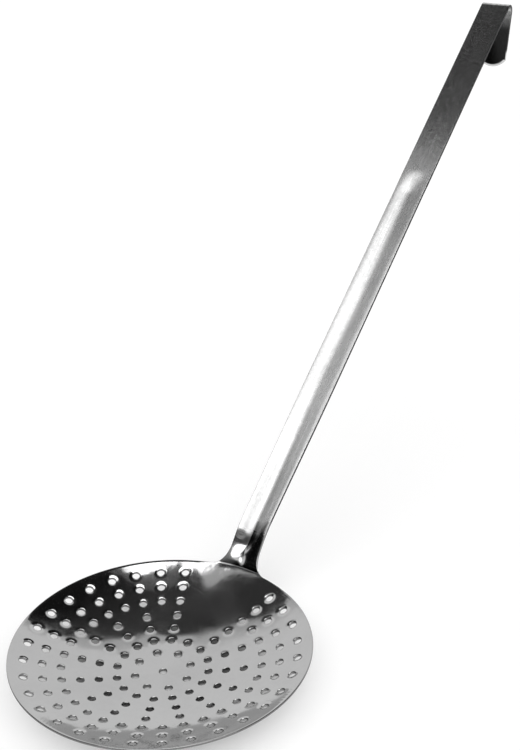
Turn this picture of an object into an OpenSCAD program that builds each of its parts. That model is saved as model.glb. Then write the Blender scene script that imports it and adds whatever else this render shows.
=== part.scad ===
// One-piece kitchen skimmer: a shallow round bowl full of drain holes, a neck that rises
// from its rim, a long strip handle with a pressed groove, and a hook bent at the far end.
// The rim is level, the handle runs along +X, and the origin is the lowest point of the
// bowl's underside, on the bowl's own axis. All sizes are in millimetres and degrees.

/* [Bowl] */
// Diameter of the bowl across its rim
rim_d = 160; // [140:1:200]
// Depth of the bowl's inside below the rim
bowl_depth = 17.6; // [13:0.1:24]
// Thickness of the sheet in the bowl
bowl_t = 1.5; // [1:0.1:2]

/* [Drain holes] */
// Diameter of one hole
hole_d = 4.1; // [2:0.1:6]
// Radius of the innermost ring of holes
first_ring_r = 15; // [12.5:0.1:17]
// Distance from one ring to the next
ring_pitch = 9.5; // [8:0.1:12]
// Least distance between two holes along a ring
hole_pitch = 9.5; // [8:0.1:9.6]
// Plain border between the last ring and the rim
rim_border = 7.5; // [5:0.1:14]
// Half angle of the plain patch in front of the neck
plain_angle = 12; // [6:0.5:20]
// Radius at which the plain patch begins
plain_from_r = 30; // [20:1:50]

/* [Neck] */
// Slope of the neck where it leaves the rim
rise_angle = 46.5; // [38:0.5:60]
// Radius of the tight bend at the rim
root_bend_r = 3; // [2:0.1:6]
// Straight length between the neck's two bends
rise_len = 17.4; // [12:0.1:30]
// Radius of the long bend that leads into the handle
neck_bend_r = 50; // [20:1:80]
// Radius of the two fillets in the corners between neck and rim
fillet_r = 11; // [6:0.5:16]
// Depth of the groove in the neck
neck_groove_d = 3.6; // [1:0.1:4.5]

/* [Handle] */
// Slope of the handle above the rim's plane
handle_angle = 33.2; // [20:0.1:37]
// Length of the straight handle
handle_len = 412.6; // [250:0.1:500]
// Width of the flat strip
strip_w = 20.2; // [18.5:0.1:26]
// Thickness of the strip
strip_t = 2; // [1.5:0.1:3]
// Width of the pressed groove
groove_w = 16.6; // [10:0.1:17]
// Depth of the groove along the handle
groove_d = 1.3; // [0.6:0.1:2.5]
// Length over which the neck's deeper groove fades into the handle's
groove_fade = 110; // [40:1:200]
// Flat length between the end of the groove and the hook
flat_len = 156; // [60:1:220]
// Length of the groove's rounded end
groove_end_len = 12; // [6:0.5:25]

/* [Hook] */
// Radius inside the bend of the hook
hook_r = 3.2; // [2:0.1:12]
// Angle through which the strip is bent
hook_turn = 136; // [110:1:180]
// Length of the straight leg, to its tip
hook_leg = 37.2; // [20:0.1:60]
// Radius of the curved tip
tip_r = 12.6; // [12.5:0.1:40]
// Straight length that leads into the bend
hook_lead = 6; // [2:0.5:15]

/* [Hidden] */

eps = 0.01;
rim_r = rim_d / 2;
rim_z = bowl_depth + bowl_t;
bowl_in_r = (rim_r * rim_r + bowl_depth * bowl_depth) / (2 * bowl_depth);
bowl_out_r = bowl_in_r + bowl_t;
rim_angle = asin(rim_r / bowl_in_r);

// Rings of holes: a ring has twice as many as the one inside it as soon as they fit.
inner_holes = 8;
ring_count = floor((rim_r - rim_border - first_ring_r) / ring_pitch) + 1;

hook_out_r = hook_r + strip_t;
tip_round_r = max(tip_r, strip_w / 2);

// The centre line of the neck's front face, as points [x, z] where its stretches meet.
root_start = [rim_r, rim_z];
root_centre = root_start + root_bend_r * [-sin(rim_angle), cos(rim_angle)];
rise_start = root_centre + root_bend_r * [sin(rise_angle), -cos(rise_angle)];
rise_end = rise_start + rise_len * [cos(rise_angle), sin(rise_angle)];
bend_centre = rise_end + neck_bend_r * [sin(rise_angle), -cos(rise_angle)];
handle_start = bend_centre + neck_bend_r * [-sin(handle_angle), cos(handle_angle)];
handle_end = handle_start + handle_len * [cos(handle_angle), sin(handle_angle)];

// Width that the sheet loses when a groove of depth d is pressed into it.
function drawn_in(d) = PI * PI * d * d / (4 * groove_w);
neck_half_w = (strip_w - drawn_in(neck_groove_d)) / 2;

// Fillet between the neck's side and the rim, seen from above.
fillet_y = neck_half_w + fillet_r;
fillet_x = sqrt(pow(rim_r + fillet_r, 2) - fillet_y * fillet_y);
// The fillet stops a little short of running into the rim, so no knife edge is left.
fillet_turn = 0.8 * atan2(fillet_x, fillet_y);

// Steps of the swept sheets, along and across.
root_inset = 3;
fillet_steps = 12;
neck_steps = 12;
fade_steps = 6;
end_steps = 9;
margin_steps = 2;
groove_steps = 12;
round_steps = 180;
hole_steps = 32;

function mix(a, b, t) = a + (b - a) * t;
function smooth(t) = let (u = min(1, max(0, t))) u * u * (3 - 2 * u);

// Slope of the neck's centre line above the point x, and its height there.
function neck_angle(x) =
    x <= root_start.x ? rim_angle
    : x < rise_start.x ? asin((x - root_centre.x) / root_bend_r)
    : x < rise_end.x ? rise_angle
    : x < handle_start.x ? asin((bend_centre.x - x) / neck_bend_r)
    : handle_angle;
function neck_z(x) =
    x <= root_start.x ? rim_z + (x - rim_r) * tan(rim_angle)
    : x < rise_start.x ? root_centre.y - root_bend_r * cos(neck_angle(x))
    : x < rise_end.x ? rise_start.y + (x - rise_start.x) * tan(rise_angle)
    : x < handle_start.x ? bend_centre.y + neck_bend_r * cos(neck_angle(x))
    : handle_start.y + (x - handle_start.x) * tan(handle_angle);

// Depth of the groove at a length s along the handle, before its rounded end.
function handle_groove(s) = mix(neck_groove_d, groove_d, smooth(s / groove_fade));
// Section of the groove, from 1 at its middle to 0 at its border.
function groove_section(u) = u >= 1 ? 0 : pow(cos(90 * u), 2);

// Places across a sheet of half width h: the groove's own, and the margins beside it.
function across(h) = let (g = groove_w / 2) concat(
    [for (i = [0 : margin_steps - 1]) mix(-h, -g, i / margin_steps)],
    [for (i = [0 : groove_steps]) mix(-g, g, i / groove_steps)],
    [for (i = [1 : margin_steps]) mix(g, h, i / margin_steps)]);

// How far the rim's circle falls back from a straight line at a distance y from its middle.
function rim_fall(y) = rim_r - sqrt(rim_r * rim_r - y * y);

// One section of a sheet: the front face's points, then the back face's in reverse order.
// x is the place of its middle, h its half width, d the groove's depth, bow how far its
// ends fall back, end how far into the groove's rounded end it lies, and t its thickness.
function section(x, z, angle, h, d, t, bow = 0, end = 0) =
    let (down = [sin(angle), 0, -cos(angle)],
         front = [for (y = across(h))
             let (depth = d * groove_section(norm([2 * y / groove_w, end])))
             [x - bow * rim_fall(y) / rim_fall(h), y, z] + depth * down])
    concat(front, [for (i = [len(front) - 1 : -1 : 0]) front[i] + t * down]);

// A sheet swept through a list of sections.
module swept_sheet(sections) {
    rows = len(sections);
    size = len(sections[0]);
    half = size / 2;
    skin = [for (r = [0 : rows - 2], i = [0 : size - 1])
        let (a = r * size + i, b = r * size + (i + 1) % size)
        each [[a, a + size, b + size], [a, b + size, b]]];
    function cap(row, flip) = [for (i = [0 : half - 2])
        let (a = row * size + i, b = a + 1, c = row * size + size - 1 - i, e = c - 1)
        each flip ? [[a, b, e], [a, e, c]] : [[a, e, b], [a, c, e]]];
    polyhedron([for (s = sections) each s], concat(skin, cap(0, true), cap(rows - 1, false)));
}

// Sections of the neck, from just inside the rim, round the fillets, to the handle.
function corner_x(turn) = fillet_x - fillet_r * sin(turn);
function corner_y(turn) = fillet_y - fillet_r * cos(turn);
function neck_thickness(x) = mix(bowl_t, strip_t, smooth((x - rim_r) / (handle_start.x - rim_r)));
root_half_w = corner_y(fillet_turn);
root_x = rim_r + corner_x(fillet_turn) - sqrt(rim_r * rim_r - root_half_w * root_half_w);
function neck_fillet_section(i) =
    let (turn = fillet_turn * (1 - i / fillet_steps),
         bow = rim_fall(root_half_w) * (1 - i / fillet_steps),
         x = corner_x(turn) + bow,
         groove = smooth((x - rim_r) / (fillet_x - rim_r)))
    section(x, neck_z(x), neck_angle(x), corner_y(turn), neck_groove_d * groove,
            neck_thickness(x), bow);
function neck_upper_section(i) =
    let (x = mix(fillet_x, handle_start.x, i / neck_steps))
    section(x, neck_z(x), neck_angle(x), neck_half_w, neck_groove_d, neck_thickness(x));
neck_sections = concat(
    [section(root_x - root_inset, neck_z(root_x - root_inset), rim_angle,
             root_half_w + root_inset * cos(fillet_turn), 0, bowl_t, rim_fall(root_half_w))],
    [for (i = [0 : fillet_steps]) neck_fillet_section(i)],
    [for (i = [1 : neck_steps]) neck_upper_section(i)]);

// Sections of the handle, from the neck to the lead of the hook.
groove_len = handle_len - flat_len;
function handle_section(s, end = 0) =
    let (d = handle_groove(s),
         depth_here = d * groove_section(end),
         x = handle_start.x + s * cos(handle_angle),
         z = handle_start.y + s * sin(handle_angle))
    section(x, z, handle_angle, (strip_w - drawn_in(depth_here)) / 2, d, strip_t, 0, end);
handle_sections = concat(
    [for (i = [0 : fade_steps]) handle_section(groove_fade * i / fade_steps)],
    [for (i = [0 : end_steps])
        handle_section(groove_len - groove_end_len * (1 - i / end_steps), i / end_steps)],
    [handle_section(handle_len - hook_lead, 1)]);

// The bowl is part of a sphere's shell, trimmed straight down at the rim.
module bowl_profile() {
    intersection() {
        translate([0, bowl_out_r]) difference() {
            circle(r = bowl_out_r, $fn = 4 * round_steps);
            circle(r = bowl_in_r, $fn = 4 * round_steps);
        }
        square([rim_r, rim_z + eps]);
    }
}

function holes_on(r) =
    inner_holes * pow(2, floor(log(2 * PI * r / (inner_holes * hole_pitch)) / log(2)));
function in_plain_patch(r, a) = r > plain_from_r && min(a, 360 - a) < plain_angle;

// One hole, square to the sheet, at a distance r from the bowl's axis.
module drain_hole(r) {
    reach = 3 * bowl_t;
    translate([0, 0, bowl_out_r]) rotate([0, -asin(r / bowl_in_r), 0])
        translate([0, 0, -bowl_out_r - reach / 2])
            cylinder(h = bowl_t + reach, d = hole_d, $fn = hole_steps);
}

module perforated_bowl() {
    color("silver") difference() {
        rotate_extrude($fn = round_steps) bowl_profile();
        drain_hole(0);
        for (k = [0 : ring_count - 1]) {
            r = first_ring_r + k * ring_pitch;
            n = holes_on(r);
            for (i = [0 : n - 1])
                if (!in_plain_patch(r, 360 * i / n)) rotate([0, 0, 360 * i / n]) drain_hole(r);
        }
    }
}

module neck() {
    color("silver") difference() {
        swept_sheet(neck_sections);
        translate([0, 0, -rim_z]) cylinder(h = 3 * rim_z, r = rim_r, $fn = round_steps);
    }
}

module handle() {
    color("gainsboro") swept_sheet(handle_sections);
}

// The hook seen from its side: lead, bend and leg, with the front face upwards at the start.
// Its stretches overlap by eps where they meet, so that they make one solid.
module hook_profile() {
    reach = 2 * (hook_r + strip_t);
    translate([-hook_lead, -strip_t]) square([hook_lead + eps, strip_t]);
    translate([0, -hook_out_r]) {
        intersection() {
            difference() {
                circle(r = hook_out_r, $fn = round_steps);
                circle(r = hook_r, $fn = round_steps);
            }
            polygon([[0, 0], [0, reach], [reach, reach], [reach, -reach],
                     reach * [sin(hook_turn), cos(hook_turn)]]);
        }
        rotate(-hook_turn) translate([-eps, hook_r]) square([hook_leg + eps, strip_t]);
    }
}

// What is cut off the leg's end, seen square to the leg, to leave the curved tip.
module tip_cut() {
    difference() {
        translate([0, -strip_w]) square([tip_round_r + strip_t, 2 * strip_w]);
        circle(r = tip_round_r, $fn = round_steps);
    }
}

module hanging_hook() {
    color("gainsboro") translate([handle_end.x, 0, handle_end.y]) rotate([0, -handle_angle, 0])
        difference() {
            rotate([90, 0, 0]) translate([0, 0, -strip_w / 2])
                linear_extrude(strip_w) hook_profile();
            translate([0, 0, -hook_out_r]) rotate([0, hook_turn, 0])
                translate([hook_leg - tip_round_r, 0, hook_r - strip_t])
                    linear_extrude(3 * strip_t) tip_cut();
        }
}

perforated_bowl();
neck();
handle();
hanging_hook();
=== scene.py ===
import math

import bpy
import numpy as np
from mathutils import Matrix, Vector
from mathutils.geometry import delaunay_2d_cdt


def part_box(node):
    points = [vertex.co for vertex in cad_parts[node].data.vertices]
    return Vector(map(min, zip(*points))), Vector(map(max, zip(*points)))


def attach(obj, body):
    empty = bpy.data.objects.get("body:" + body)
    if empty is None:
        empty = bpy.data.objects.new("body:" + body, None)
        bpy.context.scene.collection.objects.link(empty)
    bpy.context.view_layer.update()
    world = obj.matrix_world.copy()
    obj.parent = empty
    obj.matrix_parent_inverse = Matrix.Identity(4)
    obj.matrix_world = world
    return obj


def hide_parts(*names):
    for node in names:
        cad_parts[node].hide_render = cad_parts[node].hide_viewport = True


# A kitchen skimmer pressed from one steel sheet: bowl, neck, grooved handle and hook.
# Sizes in the dictionaries are millimetres and degrees. Meshes are made in metres.
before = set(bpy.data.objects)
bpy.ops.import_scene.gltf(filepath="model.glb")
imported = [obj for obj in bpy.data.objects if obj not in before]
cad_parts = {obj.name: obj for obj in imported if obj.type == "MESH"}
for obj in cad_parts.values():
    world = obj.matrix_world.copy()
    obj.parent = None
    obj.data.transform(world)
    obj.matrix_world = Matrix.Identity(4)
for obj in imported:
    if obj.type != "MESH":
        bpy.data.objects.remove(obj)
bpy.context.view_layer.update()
print("frame loaded:", sorted(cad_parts))

mm = 0.001
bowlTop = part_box("perforated_bowl")[1] / mm
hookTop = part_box("hanging_hook")[1] / mm

bowl = {
    "rimRadius": bowlTop.y,
    "rimHeight": bowlTop.z,
    "sheet": 1.5,  # thickness
    "edgeRound": 0.5,  # rounding of the cut edge, on each face
    "rimRoll": 0.2,  # how far the border of the rim is rolled down where the disc was trimmed
    "rimRollWidth": 1.8,
    "trimBlend": 4,  # width of the border in which the thickness turns upright
    "holeWidth": 4.1,
    "innerHoles": 8,
    "firstRing": 15,
    "ringStep": 9.5,
    "holeStep": 9.5,  # least distance between holes on a ring
    "rimBorder": 7.5,
    "plainFrom": 30,  # radius at which the plain patch in front of the neck begins
    "plainAngle": 12,
    "holeRound": 0.42,  # width of the drawn-in mouth of a hole
    "holeRoundFront": 0.4,
    "holeRoundBack": 0.3,
}
neck = {
    "riseSlope": 46.5,
    "rootBend": 3,
    "riseLength": 17.4,
    "longBend": 50,
    "fillet": 11,
    "grooveDepth": 3.6,
    "grooveFrom": 3.2,  # where the groove begins above the rim, and how soon it is deep
    "grooveRun": 11,
}
handle = {
    "slope": 33.2,
    "length": 412.6,
    "width": 2 * hookTop.y,
    "sheet": 2,
    "edgeRound": 0.32,
    "grooveWidth": 16.6,
    "grooveDepth": 1.3,
    "grooveFade": 110,
    "grooveSpread": 18.5,  # width over which the groove's soft shoulders run out
    "grooveShift": 0.8,  # towards +y, on the lower handle
    "flatLength": 149,
    "grooveEnd": 20,
}
hook = {
    "bend": 3.2,
    "turn": 136,
    "leg": 37.2,
    "lead": 6,
    "tipRadius": 12.6,
    "tipCorner": 1.5,
    "tipBevel": 2.1,  # width of the ground edge round the tip
    "tipBevelBack": 1.2,
}

# Values worked out from the dictionaries, shared by every part of the sheet.
rimRadius = bowl["rimRadius"]
rimHeight = bowl["rimHeight"]
bowlDepth = rimHeight - bowl["sheet"]
bowlCurve = (rimRadius**2 + bowlDepth**2) / (2 * bowlDepth)  # radius of the bowl's inside
bowlCentre = bowlCurve + bowl["sheet"]  # height of the centre of that sphere
rimSlope = math.asin(rimRadius / bowlCurve)
riseSlope = math.radians(neck["riseSlope"])
handleSlope = math.radians(handle["slope"])
hookTurn = math.radians(hook["turn"])

# Length and turn of each stretch of the sheet's middle line, from the rim to the hook's tip.
track = [
    (neck["rootBend"] * (riseSlope - rimSlope), riseSlope - rimSlope),
    (neck["riseLength"], 0),
    (neck["longBend"] * (riseSlope - handleSlope), handleSlope - riseSlope),
    (handle["length"], 0),
    ((hook["bend"] + handle["sheet"]) * hookTurn, -hookTurn),
    (hook["leg"], 0),
]
handleStart = sum(length for length, turn in track[:3])
bendStart = handleStart + handle["length"]
tipEnd = sum(length for length, turn in track)


def smooth(t):
    t = np.clip(t, 0, 1)
    return t * t * (3 - 2 * t)


def mixed(a, b, t):
    return a + (b - a) * t


def alongTrack(distance):
    x = np.full(np.shape(distance), rimRadius)
    z = np.full(np.shape(distance), rimHeight)
    slope = np.full(np.shape(distance), rimSlope)
    begin = 0
    for length, turn in track:
        part = np.clip(distance - begin, 0, length)
        begin += length
        if turn:
            radius = length / turn
            turned = slope + part / radius
            x = x + radius * (np.sin(turned) - np.sin(slope))
            z = z - radius * (np.cos(turned) - np.cos(slope))
            slope = turned
        else:
            x = x + part * np.cos(slope)
            z = z + part * np.sin(slope)
    return x, z, slope


# Width that the strip loses where the groove is pressed into it.
def drawnIn(depth):
    return (math.pi * depth) ** 2 / (4 * handle["grooveWidth"])


neckHalf = (handle["width"] - drawnIn(neck["grooveDepth"])) / 2
filletY = neckHalf + neck["fillet"]
filletX = math.sqrt((rimRadius + neck["fillet"]) ** 2 - filletY**2)
filletTurn = math.atan2(filletY, filletX)  # where the fillet meets the rim, round the bowl
neckSteps = np.linspace(0, handleStart, 400)
neckStepsX = alongTrack(neckSteps)[0]


def unrolled(x):
    return np.interp(x, neckStepsX, neckSteps)


filletEnd = float(unrolled(filletX))


# The sheet follows the rim's circle where it leaves the bowl, and is straight across past the fillets.
def rimFollow(distance):
    return 1 - smooth(distance / filletEnd)


def rimFall(y):
    return rimRadius - np.sqrt(rimRadius**2 - np.minimum(np.abs(y), rimRadius) ** 2)


def grooveAt(distance):
    alongHandle = distance - handleStart
    depth = mixed(neck["grooveDepth"], handle["grooveDepth"], smooth(alongHandle / handle["grooveFade"]))
    toEnd = alongHandle - (handle["length"] - handle["flatLength"])
    end = np.clip(1 + toEnd / handle["grooveEnd"], 0, 1)
    return depth, end


def grooveSection(u):
    return np.where(u < 1, np.cos(np.pi / 2 * np.minimum(u, 1)) ** 2, 0)


def halfWidth(distance):
    depth, end = grooveAt(np.maximum(distance, filletEnd))
    return (handle["width"] - drawnIn(depth * grooveSection(end))) / 2


def thicknessAt(distance):
    return mixed(bowl["sheet"], handle["sheet"], smooth(distance / handleStart))


# The flat pattern: p runs from the bowl's middle along the sheet, y across it. Inside the rim p is
# plain x, and past the rim it is the distance along the sheet. Both run on smoothly at the rim.
def trackDistance(p, y):
    fall = rimFall(y)
    distance = p - rimRadius + fall
    for turn in range(6):
        distance = p - rimRadius + fall * rimFollow(distance)
    inNeck = (p > 0) & (np.abs(y) < filletY) & (p**2 + y**2 > rimRadius**2)
    return np.where(inNeck, np.maximum(distance, 0), 0)


def rolledDown(radius, p, y):
    roll = np.clip(1 + (radius - rimRadius) / bowl["rimRollWidth"], 0, 1.2) ** 2
    return bowl["rimRoll"] * roll * smooth((np.abs(np.arctan2(y, p)) - filletTurn) / 0.12)


def frontFace(p, y):
    radius = np.minimum(np.hypot(p, y), 1.1 * rimRadius)
    height = bowlCentre - np.sqrt(bowlCurve**2 - radius**2) - rolledDown(radius, p, y)
    inBowl = np.stack([p, y, height], 1)
    distance = trackDistance(p, y)
    x, z, slope = alongTrack(distance)
    depth, end = grooveAt(distance)
    onRight = smooth((2.2 - y) / 4.5)  # there the groove begins sooner and deepens more slowly
    start = neck["grooveFrom"] * (1 - onRight)
    depth = depth * smooth((distance - start) / (neck["grooveRun"] * (1 + 0.8 * onRight)))
    shift = handle["grooveShift"] * (1 - smooth((distance - handle["grooveFade"]) / 80))
    across = 2 * np.abs(y - shift) / handle["grooveSpread"]
    depth = depth * grooveSection(across) * (1 - smooth(end))
    x = x - rimFall(y) * rimFollow(distance)
    onStrip = np.stack([x + depth * np.sin(slope), y, z - depth * np.cos(slope)], 1)
    return np.where((distance > 0)[:, None], onStrip, inBowl)


def unit(vectors):
    return vectors / np.linalg.norm(vectors, axis=1)[:, None]


def frontNormals(p, y):
    step = 0.02
    alongSheet = frontFace(p + step, y) - frontFace(p - step, y)
    acrossSheet = frontFace(p, y + step) - frontFace(p, y - step)
    return unit(np.cross(alongSheet, acrossSheet))


def planToPattern(x, y):
    fall = rimFall(y)
    distance = unrolled(x)
    for turn in range(6):
        distance = unrolled(x + fall * rimFollow(distance))
    beyond = rimRadius + distance - fall * rimFollow(distance)
    return np.where(x**2 + y**2 <= rimRadius**2, x, beyond)


# Rows of points along the strip, closer where it bends.
def rowsAlong():
    groovePart = handle["length"] - handle["flatLength"]
    stops = [
        (0, 0.16),
        (track[0][0], 0.75),
        (handleStart, 2.4),
        (handleStart + groovePart - handle["grooveEnd"] - 3, 0.7),
        (handleStart + groovePart + 2, 4),
        (bendStart - hook["lead"], 1.5),
        (bendStart, 0.42),
        (bendStart + track[4][0], 1.6),
        (tipEnd - hook["tipRadius"], 0),
    ]
    rows = []
    for (begin, step), (end, nextStep) in zip(stops, stops[1:]):
        count = max(1, round((end - begin) / step))
        rows.append(np.linspace(begin, end, count, endpoint=False))
    return np.concatenate(rows + [[stops[-1][0]]])


stripRows = rowsAlong()


# Half of the outline, from the tip over the +y side to the far side of the bowl, as points of the
# pattern that lie an inset in from the edge. width is how wide the edge's rounding is there.
def halfOutline(share):
    strip, rim, bevel = handle["edgeRound"], bowl["edgeRound"], hook["tipBevel"]
    tip, corner = hook["tipRadius"], hook["tipCorner"]
    tipMiddle = tipEnd - tip
    half = handle["width"] / 2
    cornerX = tipMiddle + math.sqrt((tip - corner) ** 2 - (half - corner) ** 2)
    cornerTurn = math.atan2(half - corner, cornerX - tipMiddle)

    turn = np.linspace(0, cornerTurn, 16, endpoint=False)
    inset = share * bevel
    parts = [(tipMiddle + (tip - inset) * np.cos(turn), (tip - inset) * np.sin(turn), bevel + 0 * turn)]
    turn = np.linspace(cornerTurn, np.pi / 2, 7, endpoint=False)
    width = mixed(bevel, strip, smooth(np.linspace(0, 1, 7)))
    inset = share * width
    x, y = cornerX + (corner - inset) * np.cos(turn), half - corner + (corner - inset) * np.sin(turn)
    parts.append((x, y, width))
    along = stripRows[(stripRows > filletEnd + 0.3) & (stripRows < cornerX)][::-1]
    parts.append((along, halfWidth(along) - share * strip, strip + 0 * along))
    parts = [(rimRadius + a, b, c) for a, b, c in parts]

    turn = np.linspace(-np.pi / 2, filletTurn - np.pi, 22, endpoint=False)
    width = mixed(strip, rim, smooth(np.linspace(0, 1, 22)))
    x = filletX + (neck["fillet"] + share * width) * np.cos(turn)
    y = filletY + (neck["fillet"] + share * width) * np.sin(turn)
    parts.append((planToPattern(x, y), y, width))
    turn = np.linspace(filletTurn, np.pi, 270)
    inset = share * rim
    parts.append(((rimRadius - inset) * np.cos(turn), (rimRadius - inset) * np.sin(turn), rim + 0 * turn))
    return [np.concatenate(values) for values in zip(*parts)]


def outlineLoop(share):
    p, y, width = halfOutline(share)
    back = slice(-2, 0, -1)
    pairs = [(p, p[back]), (y, -y[back]), (width, width[back])]
    return [np.concatenate(pair) for pair in pairs]


# The middles of the drain holes: a ring has twice as many as the one inside it as soon as they fit.
def holeMiddles():
    middles = [(0, 0)]
    rings = math.floor((rimRadius - bowl["rimBorder"] - bowl["firstRing"]) / bowl["ringStep"]) + 1
    for ring in range(rings):
        radius = bowl["firstRing"] + ring * bowl["ringStep"]
        fits = 2 * math.pi * radius / (bowl["innerHoles"] * bowl["holeStep"])
        count = bowl["innerHoles"] * 2 ** math.floor(math.log2(fits))
        for i in range(count):
            turn = math.radians(360 * i / count)
            fromNeck = math.degrees(min(turn, 2 * math.pi - turn))
            plain = radius > bowl["plainFrom"] and fromNeck < bowl["plainAngle"]
            if not plain:
                middles.append((radius * math.cos(turn), radius * math.sin(turn)))
    return np.array(middles)


holes = holeMiddles()
holeCorners = 28


# A circle on the bowl round one hole, walked clockwise so that the steel lies on its left.
def holeLoop(middle, radius):
    outward = Vector((*middle, -math.sqrt(bowlCurve**2 - middle[0] ** 2 - middle[1] ** 2))).normalized()
    side = outward.cross(Vector((0, 1, 0))).normalized()
    other = outward.cross(side)
    turn = np.linspace(0, 2 * np.pi, holeCorners, endpoint=False)
    ring = np.outer(np.cos(turn), side) + np.outer(np.sin(turn), other)
    points = np.array(middle) + radius * ring[:, :2]
    return points[:, 0], points[:, 1]


edgeTurns = np.radians([90, 68, 46, 23, 0])  # how far the rounding has turned at each of its rows


class Sheet:
    def __init__(self):
        self.columns = {name: [] for name in ("p", "y", "turn", "width", "front", "back")}
        self.outward = []
        self.count = 0
        self.quads = []  # faces of the rounded edges, as corners of the front face
        self.walls = []  # pairs of corners that run along a cut edge
        self.innerLoops = []

    def addRow(self, p, y, turn, width, front, back, outward):
        start = self.count
        self.count += len(p)
        for name, values in zip(self.columns, (p, y, turn, width, front, back)):
            self.columns[name].append(np.broadcast_to(values, len(p)))
        self.outward.append(outward)
        return np.arange(start, self.count)

    # loopAt gives the loop's points for a share of the rounding's width.
    def addEdge(self, loopAt, front, back):
        rows = []
        for turn in edgeTurns:
            p, y, width = loopAt(1 - math.sin(turn))
            place = frontFace(p, y)
            along = np.roll(place, -1, axis=0) - np.roll(place, 1, axis=0)
            outward = unit(np.cross(along, frontNormals(p, y)))
            rows.append(self.addRow(p, y, turn, width, front, back, outward))
        for outer, inner in zip(rows, rows[1:]):
            self.quads.append(np.stack([outer, np.roll(outer, -1), np.roll(inner, -1), inner], 1))
        self.walls.append(np.stack([rows[0], np.roll(rows[0], -1)], 1))
        self.innerLoops.append(rows[-1])

    def gathered(self):
        values = {name: np.concatenate(parts) for name, parts in self.columns.items()}
        return values, np.concatenate(self.outward)


def bowlFill():
    step = 2.3
    p, y = [], []
    for radius in np.append(np.arange(step, rimRadius - 1.6, step), rimRadius - 1.4):
        turn = np.linspace(0, 2 * np.pi, round(2 * np.pi * radius / step), endpoint=False)
        p.append(radius * np.cos(turn))
        y.append(radius * np.sin(turn))
    return np.concatenate(p), np.concatenate(y)


def stripFill():
    p, y = [], []
    for distance in stripRows:
        x = alongTrack(distance)[0]
        if distance < filletEnd:
            reach = filletY - math.sqrt(max(0, neck["fillet"] ** 2 - (filletX - x - 1) ** 2))
            reach = min(reach + 2, filletY)
        else:
            reach = halfWidth(distance) - handle["edgeRound"]
        across = np.linspace(-reach, reach, 2 * round(reach / 0.62) + 1)
        fall = rimFall(across) * rimFollow(distance)
        clear = np.hypot(x - fall - filletX, np.abs(across) - filletY) > neck["fillet"] + 1.1
        clear |= (distance >= filletEnd) & (np.abs(across) < reach - 0.25)
        p.append((rimRadius + distance - fall)[clear])
        y.append(across[clear])
    tipInside = hook["tipRadius"] - hook["tipBevel"] - 0.5
    tipRows = np.arange(stripRows[-1] + 1.3, stripRows[-1] + tipInside - 0.2, 1.3)
    for distance in tipRows:
        reach = math.sqrt(tipInside**2 - (distance - stripRows[-1]) ** 2)
        reach = min(reach, handle["width"] / 2 - hook["tipBevel"] - 0.4)
        across = np.linspace(-reach, reach, 2 * round(reach / 1.2) + 1)
        p.append(rimRadius + distance + 0 * across)
        y.append(across)
    return np.concatenate(p), np.concatenate(y)


def clearOfHoles(p, y):
    keep = np.ones(len(p), bool)
    reach = bowl["holeWidth"] / 2 + bowl["holeRound"] + 0.55
    for x0, y0 in holes:
        keep &= (p - x0) ** 2 + (y - y0) ** 2 > reach**2
    return keep


def makeSheet():
    sheet = Sheet()
    sheet.addEdge(outlineLoop, 0.0, 0.0)
    for middle in holes:
        def loopAt(share):
            width = bowl["holeRound"]
            p, y = holeLoop(middle, bowl["holeWidth"] / 2 + share * width)
            return p, y, width + 0 * p
        sheet.addEdge(loopAt, bowl["holeRoundFront"], bowl["holeRoundBack"])
    for p, y in (bowlFill(), stripFill()):
        keep = clearOfHoles(p, y)
        if p.max() <= rimRadius:
            inNeck = (np.abs(np.arctan2(y, p)) < filletTurn) & (p > rimRadius - 3)
            keep &= ~(inNeck & (np.hypot(p, y) > rimRadius - 1.0))
        p, y = p[keep], y[keep]
        sheet.addRow(p, y, 0.0, 1.0, 0.0, 0.0, np.zeros((len(p), 3)))
    return sheet


def insideTriangles(sheet, values):
    loops = sheet.innerLoops
    used = np.concatenate(loops + [np.arange(loops[-1][-1] + 1, sheet.count)])
    places = [Vector((values["p"][i], values["y"][i])) for i in used]
    edges, begin = [], 0
    for loop in loops:
        numbers = list(range(begin, begin + len(loop)))
        edges += list(zip(numbers, numbers[1:] + numbers[:1]))
        begin += len(loop)
    found = delaunay_2d_cdt(places, edges, [], 1, 1e-7)
    origin = np.array([ids[0] if ids else -1 for ids in found[3]])
    triangles = origin[np.array(found[2])]
    print("triangulated:", len(used), "points,", len(found[0]) - len(used), "added")
    triangles = triangles[(triangles >= 0).all(1)]
    loopOf = np.full(len(used), -1)
    begin = 0
    for number, loop in enumerate(loops):
        loopOf[begin:begin + len(loop)] = number
        begin += len(loop)
    ring = loopOf[triangles]
    inHole = (ring[:, 0] > 0) & (ring[:, 0] == ring[:, 1]) & (ring[:, 0] == ring[:, 2])
    triangles = used[triangles[~inHole]]
    p, y = values["p"][triangles], values["y"][triangles]
    area = (p[:, 1] - p[:, 0]) * (y[:, 2] - y[:, 0]) - (p[:, 2] - p[:, 0]) * (y[:, 1] - y[:, 0])
    triangles = triangles[np.abs(area) > 1e-7]
    turned = area[np.abs(area) > 1e-7] < 0
    triangles[turned] = triangles[turned][:, ::-1]
    return triangles


# Depths of the rounding on both faces of each point, which differ along the outline.
def edgeDepths(values):
    onHole = values["front"] > 0
    distance = trackDistance(values["p"], values["y"])
    strip = smooth(distance / filletEnd)
    tip = smooth((values["width"] - handle["edgeRound"]) / (hook["tipBevel"] - handle["edgeRound"]))
    tip = np.where(distance > bendStart, tip, 0)
    front = mixed(bowl["edgeRound"], handle["edgeRound"], strip)
    back = mixed(front, hook["tipBevelBack"], tip)
    return np.where(onHole, values["front"], front), np.where(onHole, values["back"], back)


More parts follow.
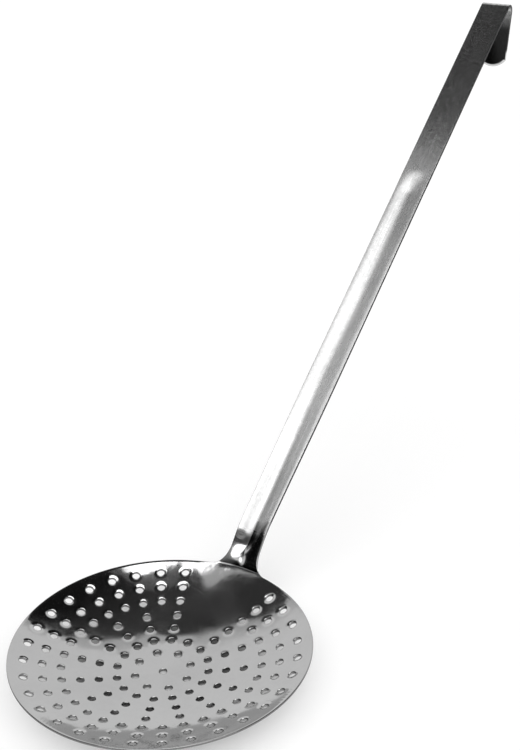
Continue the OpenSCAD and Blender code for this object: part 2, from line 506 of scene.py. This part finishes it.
# The sheet's thickness is square to its face, but straight down at the rim, which is trimmed upright.
def towardsBack(p, y, normals):
    distance = trackDistance(p, y)
    nearRim = smooth((np.hypot(p, y) - rimRadius + bowl["trimBlend"]) / (0.75 * bowl["trimBlend"]))
    upright = np.where(distance > 0, rimFollow(distance), nearRim)[:, None]
    return unit(mixed(-normals, np.array([0, 0, -1]), upright))


def placeSheet(values, outward):
    p, y, turn = values["p"], values["y"], values["turn"]
    width = values["width"][:, None]
    base, normals = frontFace(p, y), frontNormals(p, y)
    inward = towardsBack(p, y, normals)
    thickness = thicknessAt(trackDistance(p, y)) / -(normals * inward).sum(1)
    front, back = edgeDepths(values)
    drop = 1 - np.cos(turn)
    places = [base + (front * drop)[:, None] * inward, base + (thickness - back * drop)[:, None] * inward]
    lean, level = np.sin(turn)[:, None], np.cos(turn)[:, None]
    facing = [
        unit(front[:, None] * lean * outward + width * level * normals + 1e-12 * normals),
        unit(back[:, None] * lean * outward - width * level * normals - 1e-12 * normals),
    ]
    return np.concatenate(places), np.concatenate(facing)


print("laying out the sheet")
sheet = makeSheet()
values, outward = sheet.gathered()
triangles = insideTriangles(sheet, values)
places, normals = placeSheet(values, outward)
half = sheet.count
quads = np.concatenate(sheet.quads)
walls = np.concatenate(sheet.walls)
wallFaces = np.stack([walls[:, 0] + half, walls[:, 1] + half, walls[:, 1], walls[:, 0]], 1)
faces = [list(f) for group in (triangles, quads) for f in group]
faces = faces + [[i + half for i in reversed(f)] for f in faces] + [list(f) for f in wallFaces]
print("sheet has", len(places), "points and", len(faces), "faces")
pattern = np.stack([np.tile(values["p"], 2), np.tile(values["y"], 2)], 1)


# Which piece each face belongs to: 0 bowl, 1 neck, 2 handle, 3 hook.
def pieceOfFaces():
    middles = np.array([pattern[f].mean(0) for f in faces])
    distance = trackDistance(middles[:, 0], middles[:, 1])
    beyondRim = np.hypot(middles[:, 0], middles[:, 1]) > rimRadius
    beyondRim |= middles[:, 0] > rimRadius
    number = beyondRim.astype(int)
    number += distance > handleStart
    number += distance > bendStart - hook["lead"]
    return number


faceOwner = pieceOfFaces()


# One piece of the sheet as a closed mesh: its faces, and a hidden wall where it meets the next piece.
def makePiece(name, number, node):
    own = [faces[i] for i in np.flatnonzero(faceOwner == number)]
    sides = {}
    for face in own:
        for a, b in zip(face, face[1:] + face[:1]):
            sides[(a, b)] = True
    caps = [[b, a, a + half, b + half] for a, b in sides if (b, a) not in sides and a < half and b < half]
    used = np.unique(np.concatenate([np.ravel(f) for f in own]))
    renumber = np.full(len(places), -1)
    renumber[used] = np.arange(len(used))
    mesh = bpy.data.meshes.new(name)
    allFaces = [[int(renumber[i]) for i in face] for face in own + caps]
    mesh.from_pydata([Vector(v) for v in places[used] * mm], [], allFaces)
    edge = mesh.attributes.new("edge", "FLOAT", "POINT")
    edge.data.foreach_set("value", np.tile(values["turn"] / (math.pi / 2), 2)[used])
    back = mesh.attributes.new("back", "FLOAT", "POINT")
    back.data.foreach_set("value", (used >= half).astype(float))
    # a far texture space makes the shader's own brushing direction run straight along the strip
    mesh.use_auto_texspace = False
    mesh.texspace_location = (-1000, 0, 0)
    mesh.texspace_size = (1, 1, 1)
    uv = mesh.uv_layers.new(name="pattern")
    corners = np.concatenate([np.asarray(face) for face in own + caps])
    uv.uv.foreach_set("vector", (pattern[corners] * mm).astype(np.float32).ravel())
    mesh.polygons.foreach_set("use_smooth", [True] * len(mesh.polygons))
    cornerNormals = normals[corners]
    flat = sum(len(face) for face in own)
    for i, face in enumerate(caps):
        a, b, c = (places[j] for j in face[:3])
        facing = np.cross(b - a, c - b)
        cornerNormals[flat + 4 * i:flat + 4 * i + 4] = facing / (np.linalg.norm(facing) + 1e-12)
    mesh.normals_split_custom_set([Vector(n) for n in cornerNormals])
    piece = bpy.data.objects.new(name, mesh)
    bpy.context.scene.collection.objects.link(piece)
    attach(piece, "root")
    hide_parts(node)
    print(name, "made:", len(mesh.vertices), "points,", len(caps), "cap faces")
    return piece


pieces = [
    makePiece("bowl_sheet", 0, "perforated_bowl"),
    makePiece("neck_sheet", 1, "neck"),
    makePiece("handle_strip", 2, "handle"),
    makePiece("hook_strip", 3, "hanging_hook"),
]

class Value:
    def __init__(self, nodes, socket):
        self.nodes = nodes
        self.socket = socket

    def maths(self, operation, *others):
        return self.nodes.maths(operation, self, *others)

    def __add__(self, other):
        return self.maths("ADD", other)

    __radd__ = __add__

    def __sub__(self, other):
        return self.maths("SUBTRACT", other)

    def __rsub__(self, other):
        return self.nodes.maths("SUBTRACT", other, self)

    def __mul__(self, other):
        return self.maths("MULTIPLY", other)

    __rmul__ = __mul__

    def __truediv__(self, other):
        return self.maths("DIVIDE", other)

    def __rtruediv__(self, other):
        return self.nodes.maths("DIVIDE", other, self)

    def __pow__(self, other):
        return self.maths("POWER", other)

    def above(self, limit):
        return self.maths("GREATER_THAN", limit)

    def rounded(self):
        return self.maths("ROUND")

    def other(self, number):
        return Value(self.nodes, self.socket.node.outputs[number])


class Nodes:
    def __init__(self, owner):
        owner.use_nodes = True
        self.tree = owner.node_tree
        self.tree.nodes.clear()

    # Settings are set first, then each socket gets its value or link.
    def add(self, kind, settings=None, sockets=None, output=0):
        node = self.tree.nodes.new(kind)
        for name, setting in (settings or {}).items():
            if name == "stops":
                self.fillRamp(node.color_ramp, setting)
            else:
                setattr(node, name, setting)
        for key, value in (sockets or {}).items():
            if isinstance(value, Value):
                self.tree.links.new(value.socket, node.inputs[key])
            else:
                node.inputs[key].default_value = value
        return Value(self, node.outputs[output]) if node.outputs else None

    def fillRamp(self, ramp, stops):
        while len(ramp.elements) < len(stops):
            ramp.elements.new(0.5)
        for element, (place, shade) in zip(ramp.elements, stops):
            element.position = place
            element.color = (shade, shade, shade, 1)

    def maths(self, operation, *values):
        return self.add("ShaderNodeMath", {"operation": operation}, dict(enumerate(values)))

    def clamp(self, value, low, high):
        return self.maths("MINIMUM", self.maths("MAXIMUM", value, low), high)

    # 0 below low, 1 above high, and smooth between them
    def step(self, value, low, high):
        sockets = {"Value": value, "From Min": low, "From Max": high}
        return self.add("ShaderNodeMapRange", {"interpolation_type": "SMOOTHSTEP"}, sockets)

    # Mixes two colours, which may be plain shades
    def mixed(self, factor, first, second):
        colours = [c if isinstance(c, Value) else (c, c, c, 1) for c in (first, second)]
        sockets = {0: factor, 6: colours[0], 7: colours[1]}
        return self.add("ShaderNodeMix", {"data_type": "RGBA"}, sockets, 2)

    def noise(self, place, scale, detail=2, roughness=0.5):
        sockets = {"Vector": place, "Scale": scale, "Detail": detail, "Roughness": roughness}
        return self.add("ShaderNodeTexNoise", {"noise_dimensions": "3D"}, sockets)


steelLook = {
    "polishedShade": 0.475,
    "wipedShade": 0.43,
    "brushedShade": 0.53,
    "wornShade": 0.38,
    # painted shade on the cut edges of the bowl and neck
    "cutPaintedShade": 0.22,
    # painted shade on the cut edges of the strip
    "stripCutPaintedShade": 0.02,
    # painted highlight on the ground edge round the tip
    "tipPaintedHighlight": 0.62,
    # painted shade in the mouths of the drain holes
    "holePaintedShade": 0.28,
    "rootPaintedShade": 0.13,  # painted shade in the tight bend at the rim, on the front face and the neck's right part
    "legPaintedShade": 0.045,  # painted shade on the inner side of the hook's leg
    "polishedRoughness": 0.07,
    "smudgeRoughness": 0.07,  # added where the polish is wiped or worn
    "brushedRoughness": 0.28,
    "glossierFrom": 355,  # the upper handle is smoother than the lower one
    "glossierTo": 430,
    "glossierBy": 0.1,
    "legRoughness": 0.16,
    "coarseGrain": (372, 392),  # the brushing is more mottled above the groove
    "brushing": 0.93,
    "pressMark": (99.2, 6.4),  # the middle of a faint round mark left by the tool on the neck
    "finishChange": 103,  # distance from the bowl's middle at which the brushing starts
    "dentDepth": 0.15,  # how far the sheet is drawn down at a punched hole
    "dentReach": 2.7,
    "waviness": 0.35,
}


# Distance in millimetres from the middle of the nearest drain hole, from the rings' own rule
def holeDistance(nodes, p, y):
    radius = (p**2 + y**2) ** 0.5
    step = bowl["ringStep"]
    ring = nodes.clamp(((radius - bowl["firstRing"]) / step).rounded(), 0, 6)
    count = 8 + 8 * ring.above(0.5) + 16 * ring.above(3.5)
    turn = y.maths("ARCTAN2", p) / (2 * math.pi) * count
    holeTurn = turn.rounded() / count
    away = (turn / count - holeTurn) * (2 * math.pi) * radius
    across = radius - (bowl["firstRing"] + step * ring)
    onRing = (away**2 + across**2) ** 0.5
    plain = (1 - holeTurn.maths("ABSOLUTE").above(bowl["plainAngle"] / 360)) * ring.above(1.5)
    return (onRing + 100 * plain).maths("MINIMUM", radius)


# Short straight scratches at random places and angles, with sizes in millimetres
def scratches(nodes, place, spacing, length, width):
    sockets = {"Vector": place, "Scale": 1 / (spacing * mm)}
    colour = nodes.add("ShaderNodeTexVoronoi", {"voronoi_dimensions": "2D"}, sockets, 1)
    ends = {0: place, 1: colour.other(2)}
    fromMiddle = nodes.add("ShaderNodeVectorMath", {"operation": "SUBTRACT"}, ends)
    offset = nodes.add("ShaderNodeSeparateXYZ", {}, {0: fromMiddle})
    random = nodes.add("ShaderNodeSeparateXYZ", {}, {0: colour})
    turn = random * (2 * math.pi)
    sine, cosine = turn.maths("SINE"), turn.maths("COSINE")
    along = (offset * cosine + offset.other(1) * sine).maths("ABSOLUTE") / mm
    across = (offset.other(1) * cosine - offset * sine).maths("ABSOLUTE") / mm
    line = (1 - nodes.step(across, 0, width)) * (1 - nodes.step(along, 0.5 * length, length))
    return line * random.other(1)


# Tiny pits scattered over the sheet
def pits(nodes, place, spacing, size):
    sockets = {"Vector": place, "Scale": 1 / (spacing * mm)}
    distance = nodes.add("ShaderNodeTexVoronoi", {"voronoi_dimensions": "2D"}, sockets)
    chance = nodes.add("ShaderNodeSeparateXYZ", {}, {0: distance.other(1)})
    return (1 - nodes.step(distance * spacing, 0.3 * size, size)) * chance.above(0.6)


def makeSteel(name, brushed):
    material = bpy.data.materials.new(name)
    nodes = Nodes(material)
    place = nodes.add("ShaderNodeUVMap", {"uv_map": "pattern"})
    parts = nodes.add("ShaderNodeSeparateXYZ", {}, {0: place})
    p = parts * 1000
    y = parts.other(1) * 1000
    edge = nodes.add("ShaderNodeAttribute", {"attribute_name": "edge"}, {}, 2)
    back = nodes.add("ShaderNodeAttribute", {"attribute_name": "back"}, {}, 2)
    flow = nodes.add("ShaderNodeCombineXYZ", {}, {0: p * 0.02, 1: y})
    streaks = nodes.noise(flow, 1.1, 3, 0.6)
    clouds = nodes.noise(place, 40, 3, 0.5)
    mottle = nodes.noise(place, 330, 2, 0.6)
    sockets = {"Metallic": 1}
    glossier = nodes.step(p, steelLook["glossierFrom"], steelLook["glossierTo"]) * steelLook["glossierBy"]
    satin = steelLook["brushedRoughness"] - glossier + 0.08 * (streaks - 0.5) + 0.03 * (mottle - 0.5)
    marks = scratches(nodes, place, 23, 5, 0.25) + scratches(nodes, place, 11, 2.2, 0.2)
    if brushed:
        bendEnd = rimRadius + bendStart + track[4][0]
        # the inner side of the hook's leg, which gets painted shade and its own roughness
        legInside = back * nodes.step(p, bendEnd - 1, bendEnd + 13)
        roughness = satin + 0.04 * marks + (steelLook["legRoughness"] - satin) * legInside
        height = 0.03 * nodes.noise(place, 50, 1, 0.5) - 0.002 * marks
        coarse = 1.4 + 3.6 * nodes.step(p, *steelLook["coarseGrain"])
        worn = 0.5 + coarse * (mottle - 0.5) + 1.2 * (streaks + clouds - 1) + 0.3 * marks
        sockets["Anisotropic"] = steelLook["brushing"]
    else:
        smudges = nodes.step(nodes.noise(place, 28, 4, 0.65), 0.42, 0.68)
        polished = steelLook["polishedRoughness"] + steelLook["smudgeRoughness"] * smudges
        start = steelLook["finishChange"]
        change = nodes.step(p + 2 * (clouds - 0.5), start - 5, start + 4)
        specks = pits(nodes, place, 2.1, 0.35)
        onNeck = nodes.step(p, rimRadius, rimRadius + 4)
        roughness = polished + (satin - polished) * change + 0.05 * (marks + onNeck) + 0.06 * specks
        fromHole = holeDistance(nodes, p, y) - bowl["holeWidth"] / 2
        inside = nodes.clamp(fromHole / steelLook["dentReach"], 0, 1)
        deeper = 1 + 1.3 * nodes.step((p**2 + y**2) ** 0.5, 55, 70)
        dents = -steelLook["dentDepth"] * deeper * (1 - inside) ** 3
        ripple = 0.04 * nodes.noise(place, 170, 1, 0.5) * nodes.step((p**2 + y**2) ** 0.5, 64, 76)
        height = steelLook["waviness"] * nodes.noise(place, 40, 1, 0.5) + dents + ripple - 0.004 * marks
        beyond = (p**2 + y**2) ** 0.5 - rimRadius
        markP, markY = steelLook["pressMark"]
        fromMark = ((p - markP) ** 2 + (y - markY) ** 2) ** 0.5
        height = height + 0.05 * (nodes.step(fromMark, 0.8, 3.2) - nodes.step(fromMark, 3, 5.6))
        # painted shade: a dark band in the bend at the rim, on the neck's right part only
        root = nodes.step(beyond, -0.5, 0.1) - nodes.step(beyond, 1.3, 2.2)
        root = root * (1 - nodes.step(y, 2, 7))
        worn = 0.3 + 0.9 * (clouds - 0.5) + 0.5 * (mottle - 0.5) + 0.4 * smudges + 0.4 * marks
    bump = nodes.add("ShaderNodeBump", {}, {"Strength": 1.0, "Distance": mm, "Height": height})
    # the cut edges: painted shade in the tone, and more roughness
    cut = nodes.step(edge, 0.35, 0.65) if brushed else nodes.step(edge, 0.5, 0.8)
    shades = ("brushedShade", "wornShade") if brushed else ("polishedShade", "wipedShade")
    tone = nodes.mixed(nodes.clamp(worn, 0, 1), steelLook[shades[0]], steelLook[shades[1]])
    if brushed:
        tipStart = rimRadius + tipEnd - hook["tipRadius"]
        onTip = nodes.step(p, tipStart, tipStart + 3)
        cut = cut * (1 - onTip)
        # painted shade on the inner side of the hook's leg
        tone = nodes.mixed(legInside, tone, steelLook["legPaintedShade"])
        # painted highlight: the ground edge round the tip is lighter
        tone = nodes.mixed(onTip * nodes.step(edge, 0.1, 0.4), tone, steelLook["tipPaintedHighlight"])
        # painted shade on the strip's cut edges
        tone = nodes.mixed(cut, tone, steelLook["stripCutPaintedShade"])
    else:
        # painted shade in the bend at the rim
        tone = nodes.mixed(root * (1 - back), tone, steelLook["rootPaintedShade"])
        # painted shade on the cut edges of the bowl and neck
        tone = nodes.mixed(cut, tone, steelLook["cutPaintedShade"])
        # painted shade in the mouths of the drain holes
        mouth = nodes.step(edge, 0.4, 0.8) * (1 - inside.above(0.35))
        tone = nodes.mixed(mouth, tone, steelLook["holePaintedShade"])
    sockets["Base Color"] = tone
    sockets["Roughness"] = roughness + 0.15 * cut
    sockets["Normal"] = bump
    surface = nodes.add("ShaderNodeBsdfPrincipled", {}, sockets)
    nodes.add("ShaderNodeOutputMaterial", {}, {"Surface": surface})
    return material


polishedSteel = makeSteel("polished_steel", False)
brushedSteel = makeSteel("brushed_steel", True)
for piece, material in zip(pieces, (polishedSteel, polishedSteel, brushedSteel, brushedSteel)):
    piece.data.materials.append(material)

cameraSpot = {
    "place": (-460.7, -338.8, 455.0),
    "forward": (0.7711, 0.4238, -0.4751),
    "up": (0.4244, 0.2140, 0.8798),
    "focalPixels": 1344.1,
    "axisPixel": (300, 425),  # where the lens looks straight ahead, in the picture
}
pictureWidth, pictureHeight = 520, 750


def makeCamera():
    data = bpy.data.cameras.new("camera")
    camera = bpy.data.objects.new("camera", data)
    bpy.context.scene.collection.objects.link(camera)
    forward = Vector(cameraSpot["forward"]).normalized()
    right = forward.cross(Vector(cameraSpot["up"])).normalized()
    up = right.cross(forward)
    turn = Matrix((right, up, -forward)).transposed()
    camera.matrix_world = Matrix.Translation(Vector(cameraSpot["place"]) * mm) @ turn.to_4x4()
    data.sensor_width = 36
    data.lens = cameraSpot["focalPixels"] / pictureHeight * data.sensor_width
    data.shift_x = (pictureWidth / 2 - cameraSpot["axisPixel"][0]) / pictureHeight
    data.shift_y = (cameraSpot["axisPixel"][1] - pictureHeight / 2) / pictureHeight
    bpy.context.scene.camera = camera


makeCamera()

studio = {
    "floorSize": 12.0,  # metres, as all sizes of the studio
    "floorShade": 0.56,
    "floorGlow": 0.46,  # only for the camera and in metal, and none under the bowl, which leaves a painted shadow there
    "worldLight": 0.4,
    "sunLight": 0.66,
    "sunSpread": 100,
    "sunTilt": 20,  # from upright towards the camera
    "sunTurn": 216,
    "cardHeight": 2.1,
    "softbox": [
        (0.36, -1.7), (0.47, -0.05), (0.5, 0.1), (0.38, 0.33), (0.26, 0.4), (0.17, 0.42), (0.19, 0.47),
        (0.25, 0.49), (0.23, 0.62), (0.25, 0.68), (0.17, 0.71), (0.1, 0.71), (-0.3, 0.7), (-1.15, 0.7),
        (-1.15, -1.7),
    ],
    "softboxGlow": 3.1,
    "border": [
        (0.1, 0.71), (0.17, 0.71), (0.25, 0.67), (0.37, 0.78), (0.42, 0.87), (0.31, 0.93), (0.24, 1.05),
        (0.25, 1.7), (0.21, 1.7), (0.2, 1.25), (0.17, 1.05), (0.14, 0.9), (0.12, 0.72),
    ],
    "borderGlow": 0.65,
    "neckFlag": [
        (-0.1, 0.72), (0.12, 0.72), (0.14, 0.9), (0.17, 1.05), (0.2, 1.25), (0.21, 1.7), (-0.1, 1.7),
    ],
    "skirt": [(0.47, -0.1), (0.5, 0.1), (0.38, 0.33), (0.26, 0.4), (0.26, 0.5), (0.6, 0.5), (0.62, -0.1)],
    "slit": [(0.14, 0.83), (0.19, 0.85), (0.175, 0.93), (0.15, 0.9)],
    "topFlag": [
        (-2.5, -1.71), (-2.5, -4.5), (5.5, -4.5), (2.15, 0), (1.66, 0.62), (1.4, 0.8), (1.2, 0.87),
        (1.18, 1.1), (1.1, 1.45), (1.0, 1.62), (0.95, 1.85), (0.8, 2.03), (0.55, 2.06), (0.3, 1.95),
        (0.2, 1.2), (0.17, 0.42), (-0.3, 0), (-0.3, -1.71),
    ],
    "flagBorder": [
        (5.7, -4.5), (2.4, 0), (1.85, 0.85), (1.45, 1.05), (1.4, 1.75), (1.2, 2.3), (0.6, 2.6),
        (-0.5, 1.4), (-0.5, -4.5),
    ],
    "backFlag": [(-1.15, 1.2), (-1.15, -4.4), (-6, -4.4), (-6, 1.2)],
    "curtain": (90, 168, 2.3, 2.6),  # from and to, in degrees round the object, reach and height
    "lowCurtain": (83, 90, 2.3, 1.0),
    "tableEdge": (-10, 80, 3.0, 0.42),
}


# How much of a ray shows the white background: the camera's rays and those in metal or glass.
def backgroundRays(nodes):
    camera = nodes.add("ShaderNodeLightPath")
    outputs = camera.socket.node.outputs
    return camera + Value(nodes, outputs["Is Glossy Ray"]) + Value(nodes, outputs["Is Transmission Ray"])


def makeWorld():
    world = bpy.data.worlds.new("studio_air")
    bpy.context.scene.world = world
    nodes = Nodes(world)
    low = studio["worldLight"]
    strength = low + (1 - low) * backgroundRays(nodes)
    sky = nodes.add("ShaderNodeBackground", {}, {"Color": (1, 1, 1, 1), "Strength": strength})
    nodes.add("ShaderNodeOutputWorld", {}, {"Surface": sky})


def makeStage(name, corners, faces, material):
    mesh = bpy.data.meshes.new(name)
    mesh.from_pydata(corners, [], faces)
    stage = bpy.data.objects.new(name, mesh)
    bpy.context.scene.collection.objects.link(stage)
    mesh.materials.append(material)
    return stage


# A card that only metal sees, as a photographer's softbox or black flag
def makeCard(name, corners, faces, glow):
    material = bpy.data.materials.new(name)
    nodes = Nodes(material)
    strength = glow(nodes) if callable(glow) else glow
    surface = nodes.add("ShaderNodeEmission", {}, {"Color": (1, 1, 1, 1), "Strength": strength})
    nodes.add("ShaderNodeOutputMaterial", {}, {"Surface": surface})
    card = makeStage(name, corners, faces, material)
    card.visible_camera = False
    card.visible_diffuse = False
    card.visible_shadow = False
    return card


def overhead(name, plan, height, glow):
    makeCard(name, [(x, y, height) for x, y in plan], [range(len(plan))], glow)


# The top flag is black in front and dark grey behind.
def flagGlow(nodes):
    place = nodes.add("ShaderNodeTexCoord", {}, {}, 3)
    parts = nodes.add("ShaderNodeSeparateXYZ", {}, {0: place})
    stops = [(0.2, 0.01), (0.35, 0.035), (0.6, 0.065), (0.8, 0.05)]
    return nodes.add("ShaderNodeValToRGB", {"stops": stops}, {0: parts.other(1) * 0.5 + 0.2})


# The back flag is grey at the softbox and dark further back.
def backGlow(nodes):
    place = nodes.add("ShaderNodeTexCoord", {}, {}, 3)
    parts = nodes.add("ShaderNodeSeparateXYZ", {}, {0: place})
    stops = [(0, 0.42), (0.3, 0.36), (0.48, 0.2), (0.56, 0.06), (1, 0.1)]
    return nodes.add("ShaderNodeValToRGB", {"stops": stops}, {0: parts * -1 - 1.15})


# An upright screen that bends round the object
def makeScreen(name, shape, glow):
    begin, end, reach, height = shape
    turns = np.radians(np.linspace(begin, end, 12))
    foot = [Vector((0.19 + reach * math.cos(a), reach * math.sin(a), 0)) for a in turns]
    top = [v + Vector((0, 0, height)) for v in foot]
    planks = [(i, i + 1, i + 13, i + 12) for i in range(11)]
    makeCard(name, foot + top, planks, glow)


def makeStudio():
    reach = studio["floorSize"] / 2
    material = bpy.data.materials.new("floor_paper")
    nodes = Nodes(material)
    shade = studio["floorShade"]
    paper = nodes.add("ShaderNodeBsdfDiffuse", {}, {"Color": (shade, shade, shade, 1)})
    place = nodes.add("ShaderNodeTexCoord", {}, {}, 3)
    outward = nodes.add("ShaderNodeVectorMath", {"operation": "LENGTH"}, {0: place}, 1)
    # the glow fades out under the bowl, a painted shadow there
    strength = studio["floorGlow"] * backgroundRays(nodes) * nodes.step(outward, 0.035, 0.08)
    glow = nodes.add("ShaderNodeEmission", {}, {"Strength": strength})
    both = nodes.add("ShaderNodeAddShader", {}, {0: paper, 1: glow})
    nodes.add("ShaderNodeOutputMaterial", {}, {"Surface": both})
    corners = [(-reach, -reach, 0), (reach, -reach, 0), (reach, reach, 0), (-reach, reach, 0)]
    makeStage("floor", corners, [range(4)], material)

    height = studio["cardHeight"]
    overhead("softbox", studio["softbox"], height, studio["softboxGlow"])
    overhead("softbox_border", studio["border"], height, studio["borderGlow"])
    overhead("neck_flag", studio["neckFlag"], height, 0.05)
    overhead("slit", studio["slit"], height - 0.01, 2.0)
    overhead("skirt", studio["skirt"], height + 0.005, 0.14)
    overhead("top_flag", studio["topFlag"], height + 0.02, flagGlow)
    overhead("flag_border", studio["flagBorder"], height + 0.1, 0.75)
    overhead("back_flag", studio["backFlag"], height + 0.01, backGlow)
    makeScreen("curtain", studio["curtain"], 0.004)
    makeScreen("low_curtain", studio["lowCurtain"], 0.004)
    makeScreen("table_edge", studio["tableEdge"], 0.5)

    data = bpy.data.lights.new("soft_light", "SUN")
    data.energy = studio["sunLight"] * math.pi
    data.angle = math.radians(studio["sunSpread"])
    lamp = bpy.data.objects.new("soft_light", data)
    bpy.context.scene.collection.objects.link(lamp)
    lamp.rotation_euler = (0, math.radians(studio["sunTilt"]), math.radians(studio["sunTurn"]))
    lamp.visible_glossy = False
    lamp.visible_camera = False


makeWorld()
makeStudio()

bpy.context.scene.view_settings.view_transform = "Standard"
